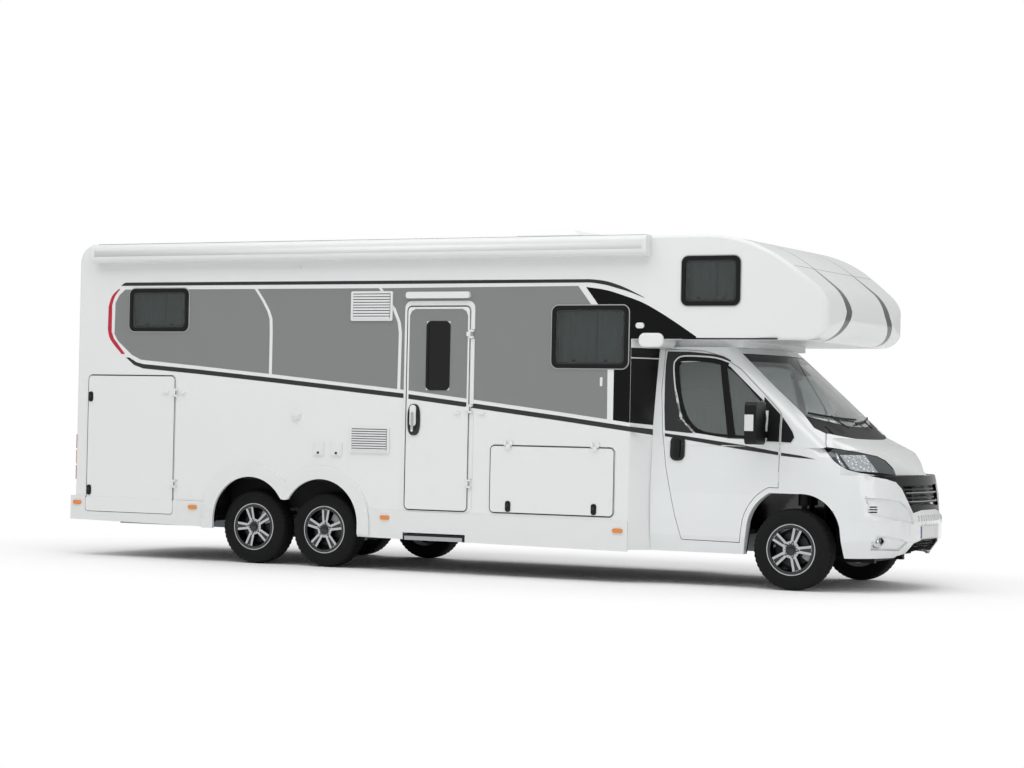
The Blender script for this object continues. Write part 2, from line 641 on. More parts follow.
# ---- Entrance door ----------------------------------------------------------------------
# A flush leaf with a tall dark window and an oval black handle plate with a chromed grip,
# a half-moon light on the gutter over it, and below it the step that rides in and out.
# Printed on its back, so it looks like black glass.
glass_black = surface("black_acrylic_pane", "#050506", 0.10, grain=0.05, depth=0.00001,
                      spread=0.02)
dress(glass_black, "entrance_window")
# Plated and polished: a bright mirror.
chrome = surface("chromed_die_casting", "#D8DADB", 0.10, grain=0.03, depth=0.00001, spread=0.03,
                 Metallic=1.0)
HANDLE_X, HANDLE_Z = -3.698, 1.427


def by_handle(x0, x1, z0, z1, radius):
    return rounded(HANDLE_X + x0, HANDLE_X + x1, HANDLE_Z + z0, HANDLE_Z + z1, radius)


oval = [(HANDLE_X + 0.066 * math.copysign(abs(math.cos(t)) ** 0.7, math.cos(t)),
         HANDLE_Z + 0.146 * math.copysign(abs(math.sin(t)) ** 0.7, math.sin(t)))
        for t in [2 * math.pi * k / 48 for k in range(48)]]
for name, ring, depth, proud, *looks in (
        ("handle_plate", oval, 0.012, 0.0, 0.005, lock_gloss, "black_plastic"),
        ("handle_cup", by_handle(-0.036, 0.036, -0.100, 0.098, 0.034), 0.002, 0.012, 0,
         glass_black, "black_plastic"),
        ("handle_grip", by_handle(-0.017, 0.009, -0.112, 0.072, 0.012), 0.026, 0.010, 0.008,
         chrome, "step_aluminium"),
        ("lock_barrel", circle(HANDLE_X + 0.002, HANDLE_Z + 0.098, 0.012), 0.006, 0.012, 0.0015,
         chrome, "step_aluminium")):
    fit("entrance_" + name, [ring], depth, -1, leaf_y + proud, *looks, body="entrance_door")
moon = bow([(-3.792, 2.563), (-3.640, 2.603), (-3.448, 2.620), (-3.270, 2.603), (-3.129, 2.563)],
           5)
fit("door_light", [moon], 0.002, -1, half_width + 0.042, 0, white_abs, "white_plastic")

# The step's aluminium tread has black grip ribs along it.
RIBS = 9
RIB_PITCH = 0.026
step_low, step_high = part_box("entrance_step")
# Etched and anodised: an even satin grey.
anodised = surface("anodised_aluminium", "#B9BCBE", 0.34, grain=0.002, depth=0.00006,
                   Metallic=0.9)
dress(anodised, "entrance_step")
for k in range(RIBS):
    y = step_low[1] + 0.022 + k * RIB_PITCH
    slab(f"step_rib_{k}", [rounded(step_low[0] + 0.02, step_high[0] - 0.02, y - 0.006, y + 0.006,
                                   0.005)],
         (step_high[2] - 0.0004, step_high[2] + 0.0022), 0, lock_black, body="entrance_step",
         axis="z")

# A small lamp on the black field and a clear upright reflector ahead of the front window.
for name, ring, depth, round_by in (
        ("side_lamp", rounded(-1.445, -1.365, 2.284, 2.335, 0.024), 0.014, 0.005),
        ("side_reflector", rounded(-1.791, -1.766, 1.762, 1.844, 0.008), 0.004, 0.001)):
    fit(name, [ring], depth, -1, half_width + 0.0005, round_by, white_abs, "white_plastic")


# ---- Cab ---------------------------------------------------------------------------------
# A van cab in white enamel over pressed steel, with doors hung at the front pillar and a
# plastic bumper in the same white. Doors and bonnet have narrow open gaps round them.
# Enamel under clear lacquer: a sharp gloss over the faint waves of pressed steel.
enamel = surface("white_cab_enamel", "#E7EAEA", 0.14, grain=0.25, depth=0.0002, spread=0.03,
                 Coat_Weight=0.6, Coat_Roughness=0.04)
dress(enamel, "cab_body", "cab_door_right", "cab_door_left", "bonnet", "front_bumper")

# Flare panels between the wide body and the cab: black film from the lower stripe up to the
# alcove, with the stripe running on below it and a white seam across.
# Laminated in a mould like the body, with a low shine.
flare_skin = surface("flare_gelcoat", WHITE, 0.18, grain=0.3, depth=0.0003, spread=0.03,
                     Specular_IOR_Level=0.25)
tree, x, across, z = whereabouts(flare_skin)
(stripe_x, stripe_z), (end_x, end_z) = STRIPE_LOW[-2:]
slope = (end_z - stripe_z) / (end_x - stripe_x)
line = add(tree, "ShaderNodeMath", {0: x, 1: slope, 2: end_z - slope * (end_x + axle_x)},
           operation="MULTIPLY_ADD")
above = add(tree, "ShaderNodeMath", {0: z, 1: line.outputs[0]}, operation="SUBTRACT").outputs[0]
SHELF_Z = 2.112                 # the black field ends under the alcove's shelf
FLARE_SEAM = (2.016, 2.026)
field = [(above, FIELD_FOOT, FAR), (z, 0.0, SHELF_Z)]
tint(flare_skin, (inside(tree, [(above, -STRIPE_LOW_WIDE, 0.0)]), "#262728"),
     (inside(tree, field), "#070708"), (inside(tree, [(z, *FLARE_SEAM)] + field), "#D9DBDB"))
dress(flare_skin, "cab_flares")

OUTSIDE = 1.4                   # distance from the middle plane, further out than the cab
CAB_SIDE = 0.93                 # distance of the cab's side from the middle plane


def laid(name, ring, onto, side, finish, slot="black_plastic", lift=0.0010, thick=0.0010,
         step=0.035):
    """A film cut to an outline seen from the side and laid on the cab's door, glass or body."""
    side_name = dict(SIDES)[side]
    door_name = f"cab_door_{side_name}"
    target = nodes["cab_body" if onto == "body" else f"cab_{onto}_{side_name}"]
    film = filled(f"{name}_{side_name}", [placed(ring)])
    film.rotation_euler = (math.pi / 2, 0, 0)
    cuts = []
    for direction, values in zip(((1, 0, 0), (0, 0, 1)), zip(*placed(ring))):
        at = min(values) + step
        while at < max(values):
            cuts.append((bpy.ops.mesh.bisect, {"plane_co": [c * at for c in direction],
                                               "plane_no": direction}))
            at += step
    mend(settle(film), WELD, *cuts, OUTWARD)
    for vertex in film.data.vertices:
        x, y, z = vertex.co
        hit, spot, normal, face = target.ray_cast(Vector((x, side * OUTSIDE, z)), (0, -side, 0),
                                                  distance=1.0)
        if not hit:
            found, near, normal, face = target.closest_point_on_mesh(
                Vector((x, side * CAB_SIDE, z)))
            spot = Vector((x, near.y, z))
        vertex.co = spot + Vector((0, side * lift, 0))
    film.data.update()
    if sum(polygon.normal.y * polygon.area for polygon in film.data.polygons) * side < 0:
        mend(film, (bpy.ops.mesh.flip_normals, {}))
    modify(film, "SOLIDIFY", thickness=thick, offset=1)
    return wear(smooth(film, 40), finish, "coach" if onto == "body" else door_name)


def band(points, wide):
    """Outline of a band of one width along a run of points."""
    near, far = [], []
    for i, (x, z) in enumerate(points):
        x0, z0 = points[max(i - 1, 0)]
        x1, z1 = points[min(i + 1, len(points) - 1)]
        length = math.hypot(x1 - x0, z1 - z0)
        nx, nz = -(z1 - z0) / length * wide / 2, (x1 - x0) / length * wide / 2
        near.append((x + nx, z + nz))
        far.append((x - nx, z - nz))
    return near + far[::-1]


def beside(points, away):
    """The run of points shifted to one side of itself."""
    return band(points, 2 * away)[:len(points)]


# Films that continue the glass: smooth, dark and a little less bright than it.
pillar_film = surface("grey_pillar_film", "#2B2C2D", 0.22, grain=0.05, depth=0.00003,
                      Coat_Weight=0.1, Specular_IOR_Level=0.35)
white_line = surface("white_vinyl_line", "#E4E6E6", 0.25, grain=0.05, depth=0.00003)
frit = surface("black_glass_frit", "#050606", 0.12, grain=0.05, depth=0.00001, spread=0.02,
               Specular_IOR_Level=0.3)
glass_edge = bow([(-.653, 1.993), (-.774, 2.030), (-.933, 2.045), (-1.111, 2.045),
                  (-1.172, 2.009), (-1.186, 1.954), (-1.165, 1.816), (-1.132, 1.678),
                  (-1.093, 1.56), (-1.034, 1.451), (-.929, 1.357)], 4)
pillar = [(-1.221, 1.376), (-1.244, 1.58), (-1.261, 1.815), (-1.268, 1.98), (-1.262, 2.088),
          (-1.036, 2.086), (-.837, 2.068), (-.717, 2.048), (-.640, 2.010)] + glass_edge + [
    (-.985, 1.357)]
# the stripe runs over the door and, past the door's front edge, over the wing
stripe_rear = [(-1.221, 1.351), (-1.006, 1.328), (-.477, 1.263), (-.126, 1.206),
               (-.126, 1.179), (-.476, 1.222), (-1.005, 1.296), (-1.219, 1.324)]
stripe_front = [(-.108, 1.203), (.067, 1.182), (.219, 1.152), (.068, 1.161), (-.108, 1.176)]
for side, side_name in SIDES:
    for name, ring, onto, *looks in (
            ("pillar_film", pillar, "door", pillar_film),
            ("glass_outline", band(glass_edge, 0.015), "door", white_line, "white_body", 0.0024),
            ("glass_surround", beside(glass_edge, 0.006) + beside(glass_edge, 0.046)[::-1],
             "door", frit, "black_plastic", 0.0030),
            ("cab_stripe_rear", stripe_rear, "door", vinyl_stripe, "white_body"),
            ("cab_stripe_front", stripe_front, "body", vinyl_stripe, "white_body")):
        laid(name, ring, onto, side, *looks)

# Side glass: toughened and lightly tinted, with a black ceramic border, an upright divider
# bar and a black sail plate that carries the mirror's foot. The door's handle is below it.
# Toughened glass: clear and smooth, with a light green-grey tint.
cab_glazing = surface("tinted_cab_glass", "#9DA6A4", 0.03, Transmission_Weight=0.72, IOR=1.5)
dress(cab_glazing, "cab_glass_right", "cab_glass_left")
border = band(bow([(-.318, 1.665), (-.470, 1.815), (-.600, 1.925), (-.690, 1.976),
                   (-.790, 2.003), (-.933, 2.021), (-1.085, 2.022), (-1.142, 1.990),
                   (-1.160, 1.944), (-1.141, 1.816), (-1.110, 1.684), (-1.070, 1.570),
                   (-1.010, 1.462), (-.915, 1.378), (-.77, 1.340), (-.45, 1.322)], 3), 0.042)
divider = [(-.745, 1.990), (-.682, 1.975), (-.543, 1.325), (-.615, 1.325)]
sail_door = [(-.291, 1.689), (-.131, 1.536), (-.131, 1.297), (-.248, 1.299), (-.309, 1.374),
             (-.300, 1.52)]
sail_body = [(-.110, 1.516), (-.060, 1.455), (-.011, 1.389), (.008, 1.34), (-.02, 1.293),
             (-.110, 1.296)]
for side, side_name in SIDES:
    for name, ring, onto, finish, *lift in (
            ("glass_border", border, "glass", frit, 0.0012, 0.0015),
            ("glass_divider", divider, "glass", frit, 0.0020, 0.004),
            ("mirror_sail_door", sail_door, "door", lock_black, 0.003, 0.004),
            ("mirror_sail_body", sail_body, "body", lock_black, 0.003, 0.004),
            ("door_handle_plate", rounded(-1.160, -1.020, 1.108, 1.328, 0.055), "door",
             lock_gloss, 0.001, 0.010, 0.02),
            ("door_handle_grip", rounded(-1.118, -1.062, 1.135, 1.300, 0.026), "door",
             lock_black, 0.011, 0.014, 0.02)):
        film = laid(name, ring, onto, side, finish, "black_plastic", *lift)
    soften(film, 0.004)         # the grip, the last of them

# The wells of the front wheels are lined in black felt.
tree, x, across, z = whereabouts(enamel)
tint(enamel, (inside(tree, [(x, 2.86, 3.86), (z, 0.0, 0.868), (across, 0.0, 0.925)]), "#0C0D0D"))

# Mirrors: a black housing on a short arm, with a clear indicator lens on the outer edge.
# A coarse moulded grain, so the shell looks soft against the glass.
mirror_black = surface("black_grained_mirror_shell", "#0B0C0C", 0.36, grain=0.0012,
                       depth=0.00008, Specular_IOR_Level=0.3)
tree, x, across, z = whereabouts(mirror_black)
tint(mirror_black, (inside(tree, [(z, 1.388, 1.530), (across, 1.262, FAR), (x, -FAR, 3.105)]),
                    "#DADDDC"))
dress(mirror_black, "mirror_right", "mirror_left")
# Silvered behind plain glass: a clean mirror.
silvered = surface("silvered_mirror_glass", "#E4E8EA", 0.03, grain=0.05, depth=0.000005,
                   spread=0.01, Metallic=1.0)
MIRROR_FACE = (3.0195, 3.0225)  # back and front of the glass in the housing's recess
for side, side_name in SIDES:
    y0, y1 = sorted((side * 1.095, side * 1.280))
    for part, z0, z1 in (("main", 1.395, 1.615), ("wide", 1.290, 1.380)):
        slab(f"mirror_glass_{part}_{side_name}", [rounded(y0, y1, z0, z1, 0.018)],
             MIRROR_FACE, 0, silvered, "cab_glass", axis="x")


# ---- Windscreen, wipers and cowl -----------------------------------------------------------
# Laminated glass with a black ceramic border and a sensor housing under the header; two
# wipers park along its foot over a black moulded cowl.
CLEAR = 0.9                     # share of the light that the bare glass lets through
# Laminated glass: clearer than the side glass.
screen_glass = surface("laminated_windscreen", "#DCE2E1", 0.03, Transmission_Weight=CLEAR,
                       IOR=1.5)
tree, x, across, z = whereabouts(screen_glass)
ceramic = inside(tree, [(z, 2.005, FAR)], [(across, 0.0, 0.13), (z, 1.90, FAR)])
tint(screen_glass, (ceramic, "#070808"))
clear = add(tree, "ShaderNodeMapRange", {"Value": ceramic, "To Min": CLEAR, "To Max": 0.0})
put(tree, tree.nodes["Principled BSDF"], {"Transmission Weight": clear.outputs[0]})
dress(screen_glass, "windscreen")
# Unpainted moulding: weathered to a dull black.
cowl = surface("black_cowl_moulding", "#101112", 0.5, grain=0.002, depth=0.0001,
               Specular_IOR_Level=0.3)
dress(cowl, "scuttle")


def tube(name, points, radius, finish):
    """A round bar bent along points."""
    curve = bpy.data.curves.new(name, "CURVE")
    curve.dimensions = "3D"
    curve.bevel_depth = radius
    curve.bevel_resolution = 3
    curve.use_fill_caps = True
    spline = curve.splines.new("NURBS")
    spline.points.add(len(points) - 1)
    for point, co in zip(spline.points, points):
        point.co = (*co, 1)
    spline.order_u = 3
    spline.use_endpoint_u = True
    linked(name, curve)
    bpy.ops.object.convert(target="MESH")
    bpy.ops.object.shade_smooth()
    wear(bpy.context.object, finish, "coach")


def on_screen(y, z, lift):
    """A point over the windscreen at a height, lifted off the glass."""
    hit, spot, normal, face = nodes["windscreen"].ray_cast(Vector((5.0, y, z)), (-1, 0, 0),
                                                           distance=4.0)
    if not hit:
        found, spot, normal, face = nodes["windscreen"].closest_point_on_mesh(
            Vector((axle_x + 0.25, y, z)))
    return tuple(spot + Vector((0.6, 0, 0.8)) * lift)


for name, arm_y, path in (
        ("right", -0.52, [(-0.76, 1.545), (-0.50, 1.515), (-0.25, 1.500), (0.00, 1.495)]),
        ("left", 0.12, [(-0.10, 1.462), (0.15, 1.475), (0.40, 1.490), (0.62, 1.515)])):
    tube(f"wiper_blade_{name}", [on_screen(y, z, 0.014) for y, z in path], 0.009, lock_black)
    tube(f"wiper_arm_{name}", [(axle_x + 0.310, arm_y + 0.1, 1.430),
                               on_screen(arm_y, 1.475, 0.030),
                               on_screen(path[1][0] + 0.02, path[1][1], 0.028)], 0.007, lock_gloss)
mirror_x = on_screen(0, 1.89, 0.0)[0] - 0.10
slab("rear_view_mirror", [rounded(-0.12, 0.12, 1.855, 1.920, 0.028)], (mirror_x - 0.03, mirror_x),
     0.008, lock_black, axis="x")
tube("rear_view_mirror_stem", [(mirror_x - 0.010, 0, 1.90), (mirror_x + 0.010, 0, 1.935),
                               on_screen(0, 1.945, -0.008)], 0.009, lock_black)


# ---- Headlamps, grille and number plate ---------------------------------------------------
# Swept-back lamps under clear polycarbonate: a chromed reflector, a grey blade along the
# upper edge and a dark rear part. The grille is a gloss-black frame with mesh and two bars.
# Hard-coated polycarbonate: a wet gloss over whatever lies in the lamp.
lamp_glass = surface("clear_polycarbonate_lamp", "#303537", 0.10, grain=0.02, depth=0.00002,
                     spread=0.03, Coat_Weight=1.0, Coat_Roughness=0.02)
LEAN = 0.62                     # slant of the lamp's bowls, forward per upward
tree, x, across, z = whereabouts(lamp_glass)
along = add(tree, "ShaderNodeMath", {0: z, 1: LEAN, 2: x}, operation="MULTIPLY_ADD").outputs[0]


def stretch(low, high):
    """The range of a stretch along the lamp, measured from the front axle."""
    return along, axle_x + low, axle_x + high


bowl = [stretch(1.148, 1.292), (z, 1.040, 1.196)]
bulb_band = [stretch(1.112, 1.128), (z, 1.04, 1.21)]
fog = [(z, 0.0, 0.6)]
tint(lamp_glass, (inside(tree, [stretch(0.95, 1.085)]), "#1F2325"),
     (inside(tree, [stretch(1.292, FAR), (z, 1.0, FAR)]), "#4C5153"),
     (inside(tree, bulb_band), "#B9C1C6"), (inside(tree, bowl, fog), "#C9D0D4"))
bright = inside(tree, bowl, fog, bulb_band)
# the reflectors' facets
cells = add(tree, "ShaderNodeTexVoronoi", {
    "Vector": add(tree, "ShaderNodeTexCoord").outputs["Object"], "Scale": 34.0})
deep, metal = [add(tree, "ShaderNodeMapRange", {"Value": bright, "To Max": most}).outputs[0]
               for most in (0.9, 0.85)]
facet = add(tree, "ShaderNodeBump", {"Height": cells.outputs["Distance"], "Strength": deep,
                                     "Distance": 0.012})
put(tree, tree.nodes["Principled BSDF"], {"Normal": facet.outputs["Normal"], "Metallic": metal})
dress(lamp_glass, "headlamps")

BAR_HIGH = 0.015
BAR_END = 0.44                  # half the bars' length
BAR_X = 4.12                    # the bars' faces lie further forward than this
# Painted gloss black over a smooth moulding.
grille_black = surface("gloss_black_grille", "#070808", 0.16, grain=0.01, depth=0.00002,
                       spread=0.04, Specular_IOR_Level=0.3)
tree, x, across, z = whereabouts(grille_black)
bars = inside(tree, *[[(z, low, low + BAR_HIGH), (across, 0.0, BAR_END), (x, BAR_X, FAR)]
                      for low in (0.7895, 0.8665)])
tint(grille_black, (bars, "#BFC3C5"))
put(tree, tree.nodes["Principled BSDF"], {"Metallic": bars})
# the mesh below the number plate is dull
for socket, low, high in (("Roughness", 0.80, 0.16), ("Specular IOR Level", 0.05, 0.3)):
    dull = add(tree, "ShaderNodeMapRange", {"Value": z, "From Min": 0.58, "From Max": 0.62,
                                            "To Min": low, "To Max": high})
    put(tree, tree.nodes["Principled BSDF"], {socket: dull.outputs[0]})
dress(grille_black, "grille")

# Glass beads under film: even and half-matt in daylight.
plate_white = surface("retroreflective_plate", "#E2E3E0", 0.35, grain=0.002, depth=0.00002)
plate_blue = surface("blue_reflective_strip", "#27418C", 0.35, grain=0.002, depth=0.00002)
PLATE = (-0.260, 0.260, 0.465, 0.578)
PLATE_SEAT = 4.2885             # floor of the recess pressed into the bumper for the plate


def copied(node, name):
    """A merged copy of a CAD node, to be cut or given several finishes."""
    piece = nodes[node].copy()
    piece.data = nodes[node].data.copy()
    piece.name = piece.data.name = name
    bpy.context.scene.collection.objects.link(piece)
    return mend(piece, WELD)


def even(piece):
    """Shade a cut copy smooth over its curves and true over its flats."""
    return modify(smooth(piece, 30), "WEIGHTED_NORMAL", keep_sharp=True, weight=100)


left, right, foot_z, top_z = PLATE
bumper = copied("front_bumper", "bumper_cover")
take(bumper, cube((PLATE_SEAT, left - 0.005, foot_z - 0.005),
                  (PLATE_SEAT + 0.05, right + 0.005, top_z + 0.005)))
wear(even(bumper), enamel, "coach")
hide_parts("front_bumper")
for name, ring, ends, *looks in (
        ("front_plate", rounded(*PLATE, 0.010), (PLATE_SEAT - 0.001, PLATE_SEAT + 0.007), 0.001,
         plate_white, "white_plastic"),
        ("front_plate_strip", rounded(left + 0.004, left + 0.044, foot_z + 0.004, top_z - 0.004,
                                      0.006),
         (PLATE_SEAT + 0.0065, PLATE_SEAT + 0.0078), 0, plate_blue, "white_plastic"),
        ("bumper_slot_liner", rounded(-0.34, 0.34, 0.602, 0.686, 0.020), (4.232, 4.240), 0.002,
         cowl)):
    slab(name, [ring], ends, *looks, axis="x")


# ---- Wheels -----------------------------------------------------------------------------------
# Cast aluminium five-spoke rims, painted gloss black and turned bright on the faces of the
# spokes and the lip; steel bolts, a black cap, and van tyres with a ribbed road tread.
# Black paint under lacquer is glossy, and the lathe leaves the bare metal bright.
rim_black = surface("black_painted_rim", "#0B0C0D", 0.22, grain=0.01, depth=0.00002,
                    spread=0.04, Coat_Weight=0.4)
rim_bright = surface("turned_aluminium", "#C4C7C9", 0.24, grain=0.003, depth=0.00003,
                     Metallic=0.95)
# Zinc plating is a pale satin metal, and bare cast iron is rough and grey.
bolt_steel = surface("zinc_plated_bolt", "#9A9DA0", 0.35, grain=0.002, depth=0.00003,
                     Metallic=0.9)
caliper_grey = surface("cast_iron_caliper", "#A2A5A6", 0.5, grain=0.004, depth=0.0002,
                       Metallic=0.5)
# Tyre rubber: nearly black and matt, with a dusty bloom.
rubber = surface("black_tyre_rubber", "#101111", 0.75, grain=0.003, depth=0.00015,
                 Specular_IOR_Level=0.25)
# Dipped coating: a plain half-matt black.
chassis_black = surface("black_cathodic_coating", "#101112", 0.5, grain=0.004, depth=0.0001,
                        Specular_IOR_Level=0.3)
# Ground steel, dulled by use.
brake_steel = surface("brake_steel", "#3A3C3E", 0.4, grain=0.003, depth=0.00005, Metallic=0.9)
TYRE_R = 0.358
BEAD_R = 0.205
GROOVES = (-0.056, -0.019, 0.019, 0.056)
GROOVE_HALF = 0.0045
GROOVE_DEEP = 0.008
CROWN_HALF = 0.076
CROWN_DROP = 0.0045             # fall of the tread from its middle to the crown's edge
SEGMENTS = 144
LUG_EVERY = 3                   # every third segment is cut back across the shoulders
LUG_DEEP = 0.006
SPOKE_FACE = 0.0915             # the spokes' turned faces lie further out than this
HUB_R = 0.064                   # the hub stays black inside this radius
WELL_R = 0.19                   # and the rim's well outside this one
LIP_R = 0.2185
BOLT_CIRCLE = 0.056
BOLTS = 5
CALIPER_SWEEP = 50
TURNS = {"front_left": 8, "front_right": 18, "mid_left": -12, "mid_right": 3,
         "rear_left": 25, "rear_right": -18}

flank = [(0.098, BEAD_R), (0.1000, 0.224), (0.1095, 0.230), (0.1105, 0.236), (0.1095, 0.238),
         (0.1125, 0.252), (0.1118, 0.285), (0.1100, 0.288), (0.1095, 0.297), (0.1095, 0.300),
         (0.1075, 0.312), (0.1020, 0.330), (0.0975, 0.341), (0.088, 0.3495)]
hollow = [(0.085, BEAD_R + 0.010), (0.095, 0.260), (0.085, 0.325)]
crown = [(-CROWN_HALF, 0)]
for centre in GROOVES:
    crown += [(centre - GROOVE_HALF, 0), (centre - GROOVE_HALF + 0.001, -GROOVE_DEEP),
              (centre + GROOVE_HALF - 0.001, -GROOVE_DEEP), (centre + GROOVE_HALF, 0)]
crown = [(y, TYRE_R - CROWN_DROP * (y / CROWN_HALF) ** 2 + drop)
         for y, drop in crown + [(CROWN_HALF, 0)]]
profile = ([(-y, radius) for y, radius in flank] + crown + flank[::-1] + hollow + [(0.0, 0.336)]
           + [(-y, radius) for y, radius in hollow[::-1]])


def tyre(name, x, y):
    """A hollow tyre spun from its profile, with lugs cut across the shoulders."""
    spots, faces = [], []
    count = len(profile)
    for s in range(SEGMENTS):
        angle = 2 * math.pi * s / SEGMENTS
        for across, radius in profile:
            if s % LUG_EVERY == 0 and 0.060 < abs(across) < 0.0999 and radius > 0.338:
                radius -= LUG_DEEP
            spots.append((x + radius * math.sin(angle), y + across,
                          TYRE_R + radius * math.cos(angle)))
        here, following = s * count, (s + 1) % SEGMENTS * count
        for i in range(count):
            j = (i + 1) % count
            faces.append((here + i, here + j, following + j, following + i))
    return smooth(mend(meshed(name, spots, faces), OUTWARD), 28)


for place_name, turn in TURNS.items():
    low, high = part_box(f"tyre_{place_name}")
    cx, cy = (low[0] + high[0]) / 2, (low[1] + high[1]) / 2
    side = 1 if cy > 0 else -1
    body = f"wheel_{place_name}"
    piece = tyre(f"tyre_tread_{place_name}", cx, cy)
    wear(piece, rubber, body)
    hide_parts(f"tyre_{place_name}")
    rim = copied(f"rim_{place_name}", f"rim_finished_{place_name}")
    wear(rim, rim_black, body)
    rim.data.materials.append(rim_bright)
    for polygon in rim.data.polygons:
        radius = math.hypot(polygon.center.x - cx, polygon.center.z - TYRE_R)
        out = (polygon.center.y - cy) * side
        on_spoke = out > SPOKE_FACE and HUB_R < radius < WELL_R
        polygon.material_index = int(on_spoke or (radius > LIP_R and out > 0.085))
    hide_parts(f"rim_{place_name}")
    for k in range(BOLTS):
        angle = math.radians(turn + 360 / BOLTS * k)
        bx, bz = cx + BOLT_CIRCLE * math.sin(angle), TYRE_R + BOLT_CIRCLE * math.cos(angle)
        bpy.ops.object.select_all(action="DESELECT")
        bpy.ops.mesh.primitive_cylinder_add(vertices=6, radius=0.0105, depth=0.016,
                                            location=(bx, cy + side * 0.0955, bz),
                                            rotation=(math.pi / 2, 0, 0))
        bolt = settle(bpy.context.object)
        bolt.name = f"wheel_bolt_{place_name}_{k}"
        wear(soften(bolt, 0.002), bolt_steel, body)
    # the cap, the lip and the brake's disc turn with the wheel; its shield and caliper do not
    fixed, start = "coach", 15
    if place_name.startswith("front"):
        fixed, start = "knuckle_" + place_name.split("_")[1], -35
    caliper = (arc(cx, TYRE_R, 0.176, start, CALIPER_SWEEP)
               + arc(cx, TYRE_R, 0.105, start + CALIPER_SWEEP, -CALIPER_SWEEP))
    for name, rings, low, high, *looks in (
            ("hub_cap", [circle(cx, TYRE_R, 0.032)], 0.090, 0.1025, 0.003, rim_black,
             "black_plastic", body),
            ("rim_lip", [circle(cx, TYRE_R, 0.2265, 96), circle(cx, TYRE_R, 0.2175, 96)],
             0.100, 0.1052, 0.001, rim_bright, "rim_alloy", body),
            ("brake_disc", [circle(cx, TYRE_R, 0.150, 64), circle(cx, TYRE_R, 0.070, 32)],
             0.014, 0.034, 0, brake_steel, "dark_steel", body),
            ("dust_shield", [circle(cx, TYRE_R, 0.183, 64), circle(cx, TYRE_R, 0.062, 32)],
             -0.004, -0.001, 0, chassis_black, "dark_steel", fixed),
            ("brake_caliper", [caliper], 0.037, 0.060, 0.006, caliper_grey, "dark_steel",
             fixed)):
        slab(f"{name}_{place_name}", rings, (cy + side * low, cy + side * high), *looks)


# ---- Chassis and underside --------------------------------------------------------------------
# A hot-dip galvanised ladder frame and torsion axles, tanks of black polyethylene under a
# plywood floor coated black, and the cab's own steel parts.
# Zinc from the bath freezes in patches of brighter and duller grey.
galvanised = surface("hot_dip_galvanised_steel", "#7C8285", 0.45, grain=0.012, depth=0.0001,
                     spread=0.10, Metallic=0.8)
dress(galvanised, "chassis_frame", "rear_axles")
dress(chassis_black, "front_suspension", "knuckle_right", "knuckle_left", "engine")
# Blow-moulded: waxy and uneven.
polyethylene = surface("black_polyethylene_tank", "#161718", 0.55, grain=0.003, depth=0.0002)
dress(polyethylene, "underfloor_units")
# Rough-sawn under its coating, with bare plywood on the upper faces.
board = surface("black_coated_plywood", "#121212", 0.7, grain=0.01, depth=0.0003)
tree, x, across, z = whereabouts(board)
tint(board, (inside(tree, [(z, 0.8385, 0.8415)], [(z, 0.4285, 0.4315)]), "#84796A"))
dress(board, "floor")

# The wall's sawn edge inside the wheel arches is sealed black.
wall_skin = surface("wall_gelcoat", WHITE, **GELCOAT)
tree, x, across, z = whereabouts(wall_skin)
tint(wall_skin, (inside(tree, [(x, -2.80, -0.80), (z, 0.0, 0.93), (across, 0.0, 1.1640)]),
                 "#0E0F0F"))
dress(wall_skin, "side_wall_right", "side_wall_left")

# Between the two wheels the trim's valley is rounded off, in the skirt and the wall behind.
VALLEY_X = -1.741
VALLEY_Z = 0.632
VALLEY_HALF = 0.125
VALLEY_RISE = 4.4               # how steeply the round valley climbs to both arches
VALLEY_FOOT = 0.40              # below the skirt
valley = [(VALLEY_X + dx, VALLEY_Z + VALLEY_RISE * dx * dx)
          for dx in [VALLEY_HALF * (k / 10 - 1) for k in range(21)]]
valley += [(VALLEY_X + VALLEY_HALF, VALLEY_FOOT), (VALLEY_X - VALLEY_HALF, VALLEY_FOOT)]
for node, name, finish, slot, *sides in (
        ("side_skirts", "skirts_with_arches", white_abs, "white_plastic", -1, 1),
        ("side_wall_right", "wall_panel_right", wall_skin, "white_body", -1),
        ("side_wall_left", "wall_panel_left", wall_skin, "white_body", 1)):
    piece = copied(node, name)
    for side in sides:
        take(piece, prism("valley_tool", [valley], *sorted((side * 1.10, side * 1.25))))
    wear(even(piece), finish, "coach")
    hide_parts(node)

# The front end of the axle's cradle is cut away where it would show below the bumper.
cradle = copied("front_suspension", "axle_cradle")
take(cradle, cube((3.93, -1.0, 0.15), (4.20, 1.0, 0.302)))
wear(cradle, chassis_black, "coach")
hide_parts("front_suspension")

# Marker lamps, rear lamps and the high brake lamp, told apart by their height.
# Moulded optics: glossy outside, with fine ribs that break up the colour.
lamp_lens = surface("moulded_lamp_lens", "#C8461A", 0.12, grain=0.006, depth=0.0002,
                    spread=0.03, Coat_Weight=0.8)
tree, x, across, z = whereabouts(lamp_lens)
tint(lamp_lens, (inside(tree, [(z, 0.0, 0.60)]), "#E0851F"),
     (inside(tree, [(z, 0.912, 1.058)]), "#E08A1C"),
     (inside(tree, [(z, 0.755, 0.905)], [(z, 1.065, 1.215)], [(z, 2.80, 2.86)]), "#B01218"))
dress(lamp_lens, "lamps")


# ---- Cab interior -------------------------------------------------------------------------
# A grained dark dashboard, and two pilot seats of foam under woven cloth with sewn channels.
# The cushions are the seats' solids rounded off, with the channels pressed into them.
SEAT_Y = 0.4
CHANNEL_PITCH = 0.115
CHANNEL_DEEP = 0.0045
PIPING = 0.175                  # distance of the sewn edge from the seat's middle
BACK_FOOT = 0.93                # height where the back begins
